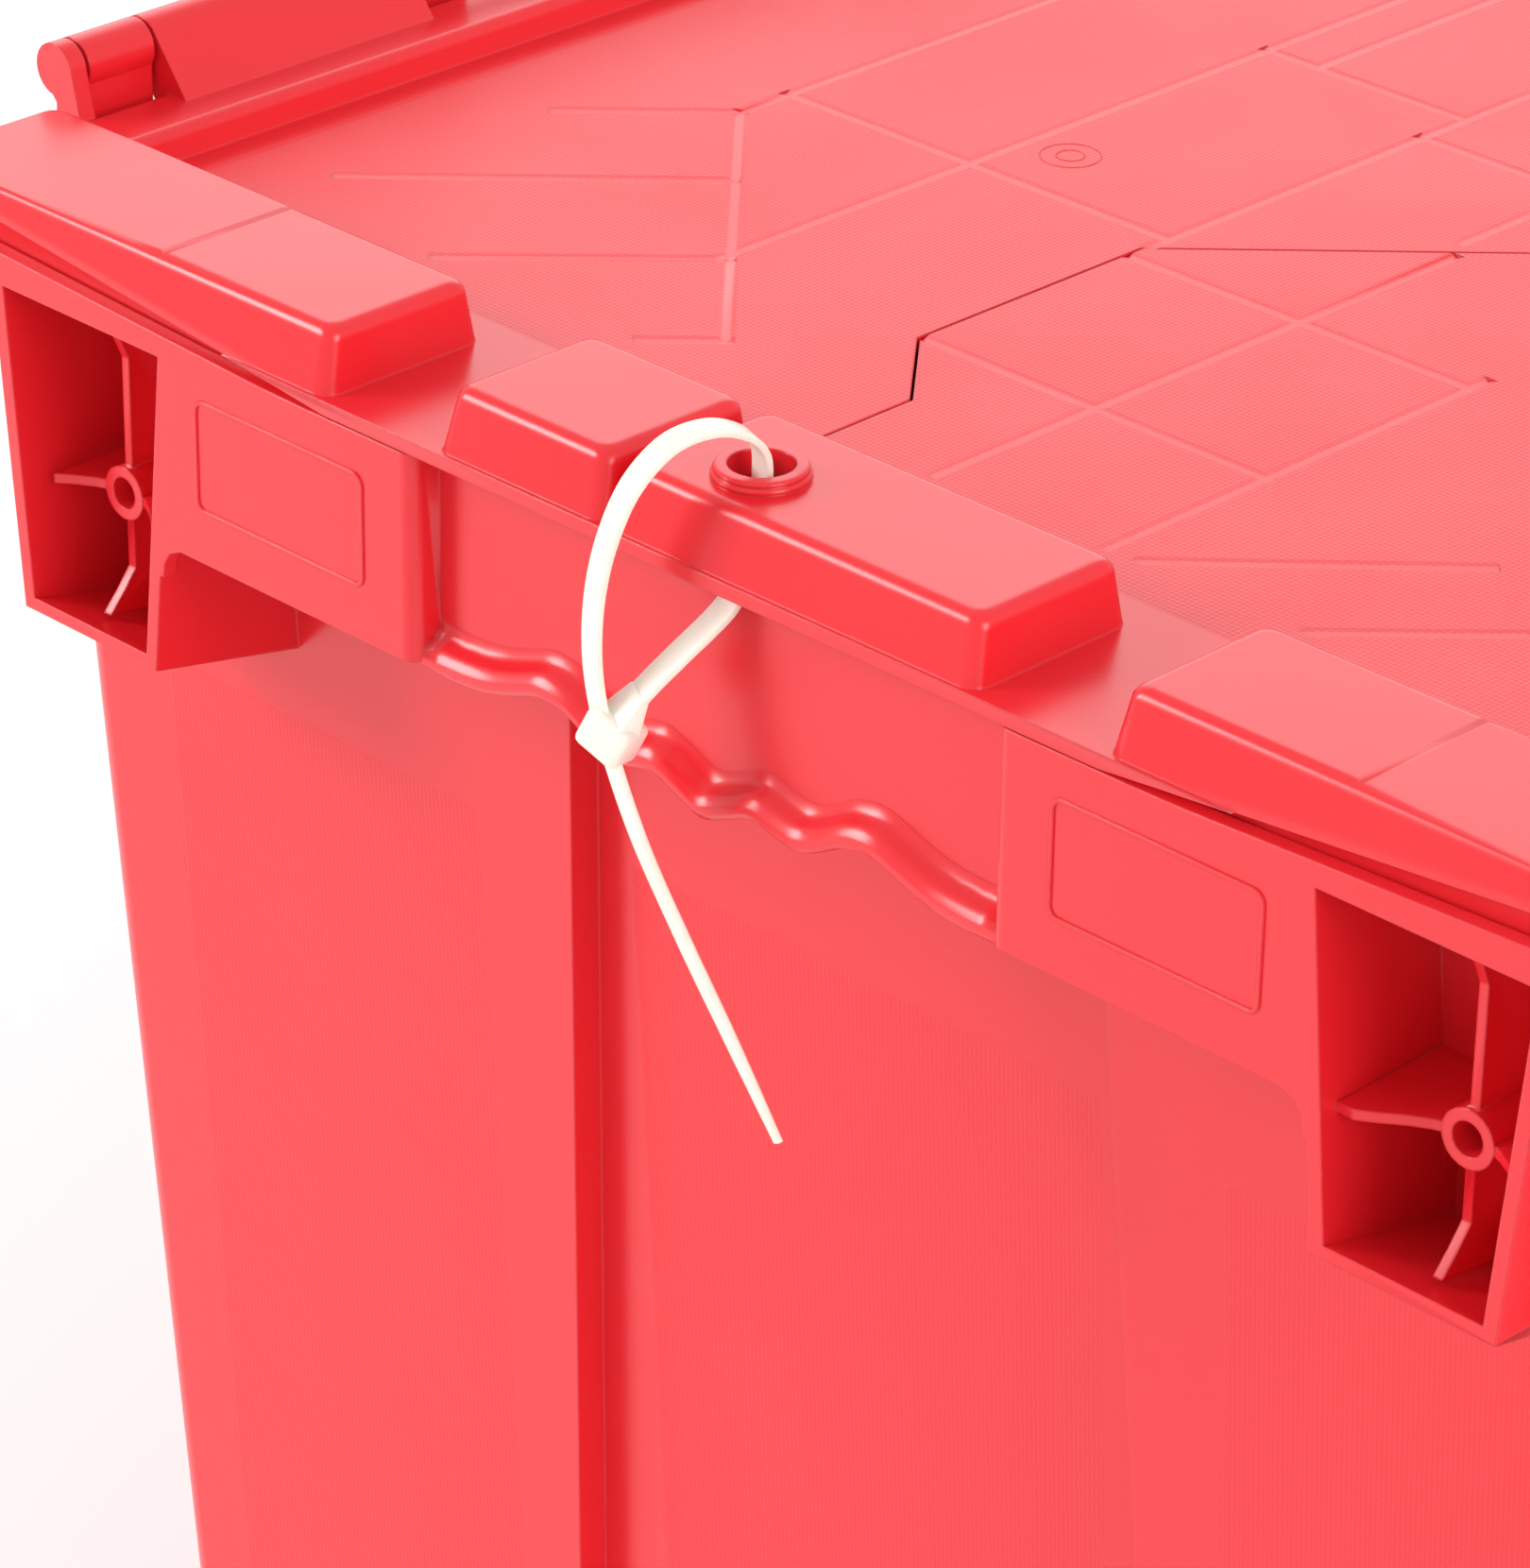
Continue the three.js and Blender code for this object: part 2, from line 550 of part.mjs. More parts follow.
// the left half; the right half is the same shape turned half round
function makeLid() {
  const seam = offsetLine(seamLine, seamGap / 2);
  const outline = [
    ...seam,
    [endX, lidEdge - 12],
  ];
  for (let i = 0; i <= 6; i += 1) {
    const angle = (Math.PI / 2) * (i / 6);
    outline.push([endX - 12 + 12 * Math.cos(angle), lidEdge - 12 + 12 * Math.sin(angle)]);
  }
  for (let i = 0; i <= 6; i += 1) {
    const angle = Math.PI / 2 + (Math.PI / 2) * (i / 6);
    outline.push([-endX + 12 + 12 * Math.cos(angle), lidEdge - 12 + 12 * Math.sin(angle)]);
  }
  const deck = plate(outline, deckUnder, deckTop);
  const front = -endX;
  const back = -endX + blockDepth + 2.6;
  const skin = lidWall;
  const top = deckTop + blockHeight;
  const spans = [
    // low end: the long corner block and the short block beside the seam
    { y0: cornerBlockStart, y1: lidEdge, end: -1 },
    { y0: seamLine[0][1] + blockSeamGap / 2, y1: middleBlockHalf, end: -1 },
    // high end: the long block with the eyelet and the corner block
    { y0: -seamLine[0][1] + blockSeamGap / 2, y1: middleBlockHalf, end: 1 },
    { y0: cornerBlockStart, y1: lidEdge, end: 1 },
  ];
  const raised = [deck];
  const hollows = [];
  spans.forEach(({ y0, y1, end }) => {
    const block = raisedBlock(front, back, y0, y1, deckUnder, blockHeight + deckThickness, 0, blockDraft, 2.4);
    const frontSkin = y0 === cornerBlockStart ? cornerFence : skin;
    const hollow = raisedBlock(front + frontSkin, back - skin, y0 + skin, y1 - skin, deckUnder - 1,
      blockHeight + deckThickness + 1 - skin, 0, blockDraft, 2.0);
    raised.push(mirrored(block, end > 0, false));
    hollows.push(mirrored(hollow, end > 0, false));
  });

  // hinge-side ridge between the corner blocks
  const ridge = raisedBlock(-endX + 8, endX - 8, ridgeInner, lidEdge, deckUnder,
    ridgeHeight + deckThickness, 0, 3, 2.0);
  raised.push(ridge);
  hollows.push(box(-endX + blockDepth, endX - blockDepth, ridgeInner + 3.4, lidEdge - skin, deckUnder - 1,
    deckTop + ridgeHeight - skin));

  // eyelet collar of two stacked beads on the long middle block at the high end
  const eyeX = endX - eyeletInset;
  const r = eyeletRadius;
  const profile = [
    [0, -skin], [r - 0.3, -skin], [r - 0.3, 0], [r, 0.3], [r, 0.7], [r - 0.3, 1.0],
    [r - 0.7, 1.05], [r - 0.4, 1.25], [r - 0.4, 1.6], [r - 0.8, 1.9], [r - 1.3, eyeletCollar],
    [0, eyeletCollar],
  ].map((p) => new THREE.Vector2(p[0], p[1]));
  const collar = new THREE.LatheGeometry(profile, 36);
  collar.rotateX(Math.PI / 2);
  collar.translate(eyeX, 0, top);
  raised.push(solid(collar));

  let lid = join(raised);
  hollows.forEach((hollow) => {
    lid = lid.subtract(hollow);
  });
  lid = lid.subtract(rodAlongZ(eyeX, 0, top - 6, top + 8, eyeletHole, 36));

  // the corner blocks fall slightly outside a shallow crease
  const crease = lidEdge - creaseInset;
  [-1, 1].forEach((end) => {
    const x0 = end < 0 ? front - 1 : endX - blockDepth - 3;
    const nick = [
      [crease, top - 0.45], [crease + 1.0, top + 0.05], [crease + 1.0, top + 1],
      [crease - 1.0, top + 1], [crease - 1.0, top + 0.05],
    ];
    lid = lid.subtract(sideways(nick, x0, x0 + blockDepth + 4));
    const fall = [[crease, top], [lidEdge + 1, top - 1], [lidEdge + 1, top + 1], [crease, top + 1]];
    lid = lid.subtract(slab(fall, x0, x0 + blockDepth + 4));
  });

  // lower edge lifts towards both corners
  [-1, 1].forEach((end) => {
    const points = [];
    for (let i = 0; i <= 10; i += 1) {
      const y = liftStart + (lidEdge + 2 - liftStart) * (i / 10);
      points.push([y, lidLower(y)]);
    }
    const cut = [[liftStart, deckUnder - 3], [lidEdge + 2, deckUnder - 3], ...points.reverse()];
    const reach = skirtThickness + restGap;
    const x0 = end < 0 ? -endX - 1 : endX - reach;
    lid = lid.subtract(slab(cut, x0, x0 + reach + 1));
  });

  // knuckles, their webs, and the groove pattern
  lid = join([lid, ...makeKnuckles()]);
  lid = lid.subtract(rodAlongX(-boreHalf, boreHalf, axisY, axisZ, boreRadius, 24));
  const fieldX = endX - blockDepth - grooveMargin;
  const fieldY = ridgeInner - grooveMargin;
  const field = box(-fieldX, fieldX, -fieldY, fieldY, deckTop - 1, deckTop + 1);
  return lid.subtract(join(makeGrooves()).intersect(field));
}

function makeKnuckles() {
  const pieces = [];
  const half = lidBarrelLength / 2;
  const ridgeTop = deckTop + ridgeHeight;
  const web = (x0, x1) => sideways([
    [lidEdge - 8, ridgeTop - 1.5], [lidEdge, deckTop + 2], [axisY + 1, axisZ - barrelRadius + 0.4],
    [axisY + 1, axisZ + 2.5], [axisY - 3.4, axisZ + 3.0],
  ], x0, x1);
  barrelCentres.forEach((centre) => {
    pieces.push(rodAlongX(centre - half, centre + half, axisY, axisZ, barrelRadius, 24));
    pieces.push(web(centre - half, centre + half));
  });
  // closed arms outside the end brackets keep the rod in
  [-1, 1].forEach((hand) => {
    const a = hand * (outerBracketEnd + knuckleGap);
    const b = a + hand * armWidth;
    pieces.push(sideways([
      [lidEdge - 2.2, ridgeTop - 1.5], [lidEdge, deckTop + 2], [axisY + 1, axisZ - barrelRadius + 0.4],
      [axisY + 1, axisZ + 2.5], [axisY - 4.2, axisZ + 1.8],
    ], Math.min(a, b), Math.max(a, b)));
    pieces.push(rodAlongX(Math.min(a, b), Math.max(a, b), axisY, axisZ, barrelRadius, 24));
  });
  return pieces;
}

// an outline in Y and Z given clockwise or not, pushed along X
function sideways(points, x0, x1) {
  const area = points.reduce((sum, p, i) => {
    const q = points[(i + 1) % points.length];
    return sum + p[0] * q[1] - q[0] * p[1];
  }, 0);
  return slab(area > 0 ? points : [...points].reverse(), x0, x1);
}

// shallow grooves in the deck; each entry runs from one point to another
function makeGrooves() {
  const low = [
    [120.8, -148, 120.8, -20], [78.6, -194, 78.6, 0], [34.2, -140, 34.2, -71], [34.2, -71, 34.2, -34.7],
    [67.2, -60.5, 67.2, 0], [120.8, -136, 34.2, -136], [78.6, -60.5, 34.2, -60.5],
    [120.8, -148, 142.6, -170], [100.3, -170, 146, -216], [77.5, -193.8, 110, -227], [54.8, -216.6, 64, -226],
    [120.8, -148, 54.8, -216.6], [34.2, -71.8, 4, -71.8], [0.5, -102, 0.5, -71],
  ];
  const high = [
    [-2.1, 228, -2.1, 108], [-36.8, 228, -36.8, 142], [34.2, 145.6, -36.8, 145.6], [34.2, 193.4, -36.8, 193.4],
    [-43.4, 228, -79.6, 192.8], [-75.5, 228, -110, 193],
  ];
  const lines = [
    ...low.map(([ya, xa, yb, xb]) => [xa, ya, xb, yb]),
    ...high.map(([ya, xa, yb, xb]) => [xa, -ya, xb, -yb]),
  ];
  return lines.map(([xa, ya, xb, yb]) => {
    const length = Math.hypot(xb - xa, yb - ya) + grooveWidth;
    const geometry = new THREE.BoxGeometry(length, Math.SQRT1_2, Math.SQRT1_2);
    geometry.rotateX(Math.PI / 4);
    geometry.scale(1, grooveWidth, grooveDepth * 2);
    geometry.rotateZ(Math.atan2(yb - ya, xb - xa));
    geometry.translate((xa + xb) / 2, (ya + yb) / 2, deckTop);
    return solid(geometry);
  });
}

// nylon tie: a flat strap through the eyelet and out under the lid's front edge, closed by its head
function makeTie() {
  const x = (inset) => -endX + inset;
  const z = (up) => deckTop + up;
  const path = [
    [x(-8.2), 7.5, z(-25)], [x(-6.2), 5.6, z(-20)], [x(-2.0), 2.6, z(-14)], [x(2.6), -0.6, z(-8)],
    [x(4.2), -2.2, z(-4)], [x(4.6), -2.6, z(-0.5)], [x(8.0), -1.8, z(3.6)], [x(12.6), -0.6, z(6.6)],
    [x(14.0), -0.2, z(10.5)], [x(13.6), 0.0, z(15.0)], [x(10.4), 0.8, z(18.4)], [x(5.0), 2.6, z(20.2)],
    [x(-0.8), 5.4, z(18.6)], [x(-5.2), 8.6, z(12.5)], [x(-7.6), 11.2, z(4.0)], [x(-8.8), 12.6, z(-5.0)],
    [x(-9.4), 12.6, z(-14.0)], [x(-9.4), 11.2, z(-22.0)], [x(-9.2), 8.4, z(-30.0)], [x(-8.4), 2.4, z(-43.0)],
    [x(-7.0), -6.0, z(-57.0)], [x(-5.6), -15.0, z(-71.0)], [x(-4.6), -24.0, z(-84.5)],
  ].map((p) => new THREE.Vector3(...p));
  const curve = new THREE.CatmullRomCurve3(path, false, 'centripetal');
  const steps = 96;
  const rings = [];
  for (let i = 0; i <= steps; i += 1) {
    const t = i / steps;
    const point = curve.getPoint(t);
    const tangent = curve.getTangent(t);
    const across = new THREE.Vector3(0.28, 0.96, 0.05);
    across.addScaledVector(tangent, -across.dot(tangent)).normalize();
    const normal = new THREE.Vector3().crossVectors(tangent, across).normalize();
    const taper = t > 0.93 ? 1 - (t - 0.93) * 7 : 1;
    const halfWidth = (strapWidth / 2) * Math.max(0.45, taper);
    const halfThick = strapThickness / 2;
    const corner = (a, b) => point.clone().addScaledVector(across, a).addScaledVector(normal, b).toArray();
    rings.push([
      corner(-halfWidth, -halfThick), corner(halfWidth, -halfThick),
      corner(halfWidth, halfThick), corner(-halfWidth, halfThick),
    ]);
  }
  const strap = loft(rings);
  // the head, and the neck where the strap leaves it
  const headGeometry = new THREE.BoxGeometry(...headSize);
  const place = new THREE.Matrix4().makeRotationFromEuler(new THREE.Euler(0.42, 0.12, 0.2));
  headGeometry.applyMatrix4(place);
  headGeometry.translate(x(-8.6), 8.2, z(-26.6));
  const neckRings = [0, 0.05].map((t, level) => {
    const point = curve.getPoint(t);
    const across = new THREE.Vector3(0.28, 0.96, 0.05);
    const tangent = curve.getTangent(t);
    across.addScaledVector(tangent, -across.dot(tangent)).normalize();
    const normal = new THREE.Vector3().crossVectors(tangent, across).normalize();
    const a = level === 0 ? strapWidth * 0.72 : strapWidth / 2;
    const b = level === 0 ? strapThickness * 1.7 : strapThickness / 2;
    return [[-a, -b], [a, -b], [a, b], [-a, b]].map(([u, v]) => (
      point.clone().addScaledVector(across, u).addScaledVector(normal, v).toArray()));
  });
  return join([strap, solid(headGeometry), loft(neckRings)]);
}

function mesh(shape, name, colour) {
  const material = new THREE.MeshStandardMaterial({ color: colour, name });
  const item = new THREE.Mesh(geometryOf(shape), material);
  item.name = name;
  return item;
}

const group = new THREE.Group();
const lid = makeLid();
const tie = makeTie();
group.add(mesh(makeTote(), 'tote_body', 0xf03c41));
group.add(mesh(lid, 'lid_left', 0xf4464b));
group.add(mesh(lid.scale([-1, -1, 1]), 'lid_right', 0xf4464b));
[-1, 1].forEach((side) => {
  const rod = rodAlongX(-rodHalf, rodHalf, side * axisY, axisZ, rodRadius, 24);
  group.add(mesh(rod, side > 0 ? 'hinge_rod_left' : 'hinge_rod_right', 0xb9bcc0));
});
group.add(mesh(tie, 'cable_tie', 0xf2efe8));

export default group;
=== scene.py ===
import math

import bmesh
import bpy
from mathutils import Matrix, Vector


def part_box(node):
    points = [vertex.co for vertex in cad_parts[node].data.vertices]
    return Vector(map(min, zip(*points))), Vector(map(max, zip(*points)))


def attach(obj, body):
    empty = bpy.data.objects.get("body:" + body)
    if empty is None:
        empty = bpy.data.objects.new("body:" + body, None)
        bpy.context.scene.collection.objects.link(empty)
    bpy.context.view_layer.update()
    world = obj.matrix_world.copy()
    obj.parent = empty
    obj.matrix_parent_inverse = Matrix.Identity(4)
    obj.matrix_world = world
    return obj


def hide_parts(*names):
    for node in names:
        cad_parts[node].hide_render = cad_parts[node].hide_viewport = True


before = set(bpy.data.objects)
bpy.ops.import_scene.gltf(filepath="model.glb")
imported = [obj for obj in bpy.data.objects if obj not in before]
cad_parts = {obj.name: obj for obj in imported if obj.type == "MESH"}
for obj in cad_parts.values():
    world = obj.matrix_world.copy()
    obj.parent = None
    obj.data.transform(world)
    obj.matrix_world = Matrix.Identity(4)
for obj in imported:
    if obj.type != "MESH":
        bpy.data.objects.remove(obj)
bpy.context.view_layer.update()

mm = 0.001
deckTop = 420.8 * mm  # top of the flat deck, which most heights below are counted from
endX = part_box("lid_left")[1].x  # both lids reach the ends of the tote


# small helpers

def fromHex(code):
    # sRGB hex to the linear values that Blender's sockets hold
    parts = [int(code[i:i + 2], 16) / 255 for i in (1, 3, 5)]
    return [p / 12.92 if p <= 0.04045 else ((p + 0.055) / 1.055) ** 2.4 for p in parts] + [1.0]


def addNode(tree, kind, inputs=None, **settings):
    node = tree.nodes.new(kind)
    for name, value in settings.items():
        setattr(node, name, value)
    for name, value in (inputs or {}).items():
        if isinstance(value, bpy.types.NodeSocket):
            tree.links.new(value, node.inputs[name])
        else:
            node.inputs[name].default_value = value
    return node


def emptyMaterial(name):
    material = bpy.data.materials.new(name)
    material.use_nodes = True
    material.node_tree.nodes.clear()
    return material, material.node_tree


def pieceFrom(bm, name, material, body, smoothAngle=35):
    # the finished mesh keeps its place in its points, with the object at the origin
    mesh = bpy.data.meshes.new(name)
    bm.to_mesh(mesh)
    bm.free()
    piece = bpy.data.objects.new(name, mesh)
    bpy.context.scene.collection.objects.link(piece)
    mesh.materials.clear()
    mesh.materials.append(material)
    mesh.shade_smooth()
    mesh.set_sharp_from_angle(angle=math.radians(smoothAngle))
    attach(piece, body)
    return piece


# camera

cameraPlan = {
    "place": (-0.8761, -0.6061, 0.8341),
    "azimuth": -45.381,
    "elevation": 27.769,
    "roll": 0.882,
    "lens": 153.39,
}


def makeCamera(plan):
    a = math.radians(plan["azimuth"])
    e = math.radians(plan["elevation"])
    back = Vector((math.sin(a) * math.cos(e), -math.cos(a) * math.cos(e), math.sin(e)))
    right = Vector((0, 0, 1)).cross(back).normalized()
    up = back.cross(right)
    c, s = math.cos(math.radians(plan["roll"])), math.sin(math.radians(plan["roll"]))
    turned = Matrix((c * right + s * up, -s * right + c * up, back)).transposed()
    data = bpy.data.cameras.new("studioCamera")
    data.lens = plan["lens"]
    data.sensor_width = 36
    data.sensor_fit = "HORIZONTAL"
    data.clip_start = 0.02
    data.clip_end = 50
    camera = bpy.data.objects.new("studioCamera", data)
    camera.matrix_world = Matrix.Translation(plan["place"]) @ turned.to_4x4()
    bpy.context.scene.collection.objects.link(camera)
    bpy.context.scene.camera = camera


makeCamera(cameraPlan)
print("camera placed")


# materials

plasticPlan = {
    "colour": "#E8262F",
    "deepColour": "#DC1F29",
    "roughness": 0.24,
    "grainPitch": 0.95 * mm,
    "grainDepth": 0.06 * mm,
    "edgeRound": 0.6 * mm,
}


def within(tree, bounds):
    # 1 inside every pair of limits and 0 outside, with a short soft edge; each entry is a value, its low
    # and high limit and the width of the soft edge
    mask = None
    for value, low, high, soft in bounds:
        middle = (low + high) / 2
        offset = addNode(tree, "ShaderNodeMath", {0: value, 1: middle}, operation="SUBTRACT")
        apart = addNode(tree, "ShaderNodeMath", {0: offset.outputs[0]}, operation="ABSOLUTE")
        share = addNode(tree, "ShaderNodeMapRange", {"Value": apart.outputs[0], "From Min": high - middle,
                        "From Max": high - middle + soft, "To Min": 1.0, "To Max": 0.0},
                        interpolation_type="SMOOTHSTEP")
        mask = share.outputs[0] if mask is None else addNode(
            tree, "ShaderNodeMath", {0: mask, 1: share.outputs[0]}, operation="MULTIPLY").outputs[0]
    return mask


def makePolyethylene(name, plan, zone):
    # injection-moulded polyethylene: satin skin, soft colour drift from the melt, fine grained panels
    material, tree = emptyMaterial(name)
    coords = addNode(tree, "ShaderNodeTexCoord").outputs["Object"]
    axes = addNode(tree, "ShaderNodeSeparateXYZ", {0: coords})
    x, y, z = axes.outputs
    drift = addNode(tree, "ShaderNodeTexNoise", {"Vector": coords, "Scale": 9.0, "Detail": 2.0})
    tint = addNode(tree, "ShaderNodeMix", {0: drift.outputs[0], 6: fromHex(plan["colour"]),
                   7: fromHex(plan["deepColour"])}, data_type="RGBA")
    mask, flat = zone(tree, x, y, z)
    dots = addNode(tree, "ShaderNodeTexVoronoi", {"Vector": flat, "Scale": 1 / plan["grainPitch"],
                   "Randomness": 0.14}, voronoi_dimensions="2D")
    hump = addNode(tree, "ShaderNodeMapRange", {"Value": dots.outputs["Distance"], "From Min": 0.15,
                   "From Max": 0.55, "To Min": 1.0, "To Max": 0.0})
    grain = addNode(tree, "ShaderNodeMath", {0: hump.outputs[0], 1: mask}, operation="MULTIPLY").outputs[0]
    skin = addNode(tree, "ShaderNodeTexNoise", {"Vector": coords, "Scale": 420.0, "Detail": 3.0})
    relief = addNode(tree, "ShaderNodeMath", {0: skin.outputs[0], 1: 0.10, 2: grain},
                     operation="MULTIPLY_ADD")
    rounded = addNode(tree, "ShaderNodeBevel", {"Radius": plan["edgeRound"]}, samples=4)
    bump = addNode(tree, "ShaderNodeBump", {"Height": relief.outputs[0], "Strength": 0.6,
                   "Distance": plan["grainDepth"], "Normal": rounded.outputs[0]})
    smear = addNode(tree, "ShaderNodeTexNoise", {"Vector": coords, "Scale": 26.0, "Detail": 4.0})
    rough = addNode(tree, "ShaderNodeMapRange", {"Value": smear.outputs[0],
                    "To Min": plan["roughness"] - 0.05, "To Max": plan["roughness"] + 0.06})
    rougher = addNode(tree, "ShaderNodeMath", {0: mask, 1: 0.14, 2: rough.outputs[0]},
                      operation="MULTIPLY_ADD")
    shader = addNode(tree, "ShaderNodeBsdfPrincipled", {"Base Color": tint.outputs[2],
                     "Roughness": rougher.outputs[0], "IOR": 1.52, "Normal": bump.outputs[0]})
    addNode(tree, "ShaderNodeOutputMaterial", {"Surface": shader.outputs[0]})
    return material


def toteGrainZone(tree, x, y, z):
    # grained panels on the end walls, one each side and one in the sunk middle
    size = addNode(tree, "ShaderNodeMath", {0: y}, operation="ABSOLUTE").outputs[0]
    side = within(tree, [(size, 81 * mm, 157 * mm, 0.6 * mm), (z, 30 * mm, deckTop - 82 * mm, 0.6 * mm)])
    middle = within(tree, [(y, -50 * mm, 50 * mm, 0.6 * mm), (z, 30 * mm, deckTop - 83 * mm, 0.6 * mm)])
    both = addNode(tree, "ShaderNodeMath", {0: side, 1: middle}, operation="MAXIMUM")
    flat = addNode(tree, "ShaderNodeCombineXYZ", {0: y, 1: z})
    return both.outputs[0], flat.outputs[0]


def lidGrainZone(tree, x, y, z):
    # the whole deck is grained between its grooves; blocks and ridges are smooth
    level = within(tree, [(x, -238 * mm, 238 * mm, 0.6 * mm), (y, -162 * mm, 162 * mm, 0.6 * mm),
                          (z, deckTop - 0.2 * mm, deckTop + 0.2 * mm, 0.1 * mm)])
    turned = addNode(tree, "ShaderNodeCombineXYZ", {0: x, 1: y})
    return level, turned.outputs[0]


totePlastic = makePolyethylene("mouldedPolyethyleneTote", plasticPlan, toteGrainZone)
lidPlastic = makePolyethylene("mouldedPolyethyleneLid", plasticPlan, lidGrainZone)

nylonPlan = {"colour": "#F4F0E6", "deepColour": "#E9E2D2", "roughness": 0.34}


def makeNylon(name, plan):
    # natural nylon 6/6: milky, slightly see-through, with a soft gloss
    material, tree = emptyMaterial(name)
    coords = addNode(tree, "ShaderNodeTexCoord").outputs["Object"]
    cloud = addNode(tree, "ShaderNodeTexNoise", {"Vector": coords, "Scale": 160.0, "Detail": 2.0})
    tint = addNode(tree, "ShaderNodeMix", {0: cloud.outputs[0], 6: fromHex(plan["colour"]),
                   7: fromHex(plan["deepColour"])}, data_type="RGBA")
    fine = addNode(tree, "ShaderNodeTexNoise", {"Vector": coords, "Scale": 900.0, "Detail": 2.0})
    rounded = addNode(tree, "ShaderNodeBevel", {"Radius": 0.25 * mm}, samples=4)
    bump = addNode(tree, "ShaderNodeBump", {"Height": fine.outputs[0], "Strength": 0.3,
                   "Distance": 0.03 * mm, "Normal": rounded.outputs[0]})
    rough = addNode(tree, "ShaderNodeMapRange", {"Value": cloud.outputs[0],
                    "To Min": plan["roughness"] - 0.04, "To Max": plan["roughness"] + 0.06})
    shader = addNode(tree, "ShaderNodeBsdfPrincipled", {"Base Color": tint.outputs[2],
                     "Roughness": rough.outputs[0], "IOR": 1.53, "Normal": bump.outputs[0],
                     "Subsurface Weight": 0.5, "Subsurface Scale": 1.2 * mm})
    addNode(tree, "ShaderNodeOutputMaterial", {"Surface": shader.outputs[0]})
    return material


steelPlan = {"colour": "#B9BBBF", "deepColour": "#A2A5AA", "roughness": 0.3}


def makeSteel(name, plan):
    # drawn and zinc-plated wire: faint lines along its length
    material, tree = emptyMaterial(name)
    coords = addNode(tree, "ShaderNodeTexCoord").outputs["Object"]
    drawn = addNode(tree, "ShaderNodeMapping", {"Vector": coords, "Scale": (6.0, 900.0, 900.0)})
    lines = addNode(tree, "ShaderNodeTexNoise", {"Vector": drawn.outputs[0], "Scale": 1.0, "Detail": 3.0})
    tint = addNode(tree, "ShaderNodeMix", {0: lines.outputs[0], 6: fromHex(plan["colour"]),
                   7: fromHex(plan["deepColour"])}, data_type="RGBA")
    rough = addNode(tree, "ShaderNodeMapRange", {"Value": lines.outputs[0],
                    "To Min": plan["roughness"] - 0.06, "To Max": plan["roughness"] + 0.12})
    bump = addNode(tree, "ShaderNodeBump", {"Height": lines.outputs[0], "Strength": 0.25,
                   "Distance": 0.02 * mm})
    shader = addNode(tree, "ShaderNodeBsdfPrincipled", {"Base Color": tint.outputs[2], "Metallic": 1.0,
                     "Roughness": rough.outputs[0], "Normal": bump.outputs[0]})
    addNode(tree, "ShaderNodeOutputMaterial", {"Surface": shader.outputs[0]})
    return material


nylon = makeNylon("naturalNylon", nylonPlan)
steel = makeSteel("zincPlatedWire", steelPlan)
print("materials made")


# mouldings: clean copies of the solids with smooth rounded shading

mouldingPlan = {
    "mergeDistance": 0.002 * mm,
    "flatAngle": 0.4,  # degrees; facets closer than this become one face
    "sharpAngle": 28,
    "flatWeight": 80,
}


def mouldedCopy(node, name, material, body):
    bm = bmesh.new()
    bm.from_mesh(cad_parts[node].data)
    bmesh.ops.remove_doubles(bm, verts=bm.verts[:], dist=mouldingPlan["mergeDistance"])
    bmesh.ops.dissolve_limit(bm, angle_limit=math.radians(mouldingPlan["flatAngle"]), verts=bm.verts[:],
                             edges=bm.edges[:], delimit={"NORMAL"})
    piece = pieceFrom(bm, name, material, body, mouldingPlan["sharpAngle"])
    # large flat faces keep their own direction, so only the rounded edges shade round
    weighted = piece.modifiers.new("faceWeights", "WEIGHTED_NORMAL")
    weighted.keep_sharp = True
    weighted.weight = mouldingPlan["flatWeight"]
    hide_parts(node)
    return piece


mouldedCopy("tote_body", "toteShell", totePlastic, "tote")
mouldedCopy("lid_left", "lidLeftShell", lidPlastic, "lid_left")
mouldedCopy("lid_right", "lidRightShell", lidPlastic, "lid_right")
print("mouldings made")


# hinge rods

rodPlan = {"segments": 48, "endRound": 0.5 * mm}


def makeRod(node, name):
    low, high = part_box(node)
    centre = (low + high) / 2
    bm = bmesh.new()
    place = Matrix.Translation(centre) @ Matrix.Rotation(math.radians(90), 4, "Y")
    radius = (high.z - low.z) / 2
    bmesh.ops.create_cone(bm, cap_ends=True, segments=rodPlan["segments"], radius1=radius, radius2=radius,
                          depth=high.x - low.x, matrix=place)
    rims = [e for e in bm.edges if len(e.link_faces) == 2 and any(len(f.verts) > 4 for f in e.link_faces)]
    bmesh.ops.bevel(bm, geom=rims, offset=rodPlan["endRound"], affect="EDGES", segments=3, profile=0.5,
                    material=-1)
    rod = pieceFrom(bm, name, steel, "tote", 50)
    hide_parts(node)


makeRod("hinge_rod_left", "hingeRodLeft")
makeRod("hinge_rod_right", "hingeRodRight")
print("rods made")


# cable tie

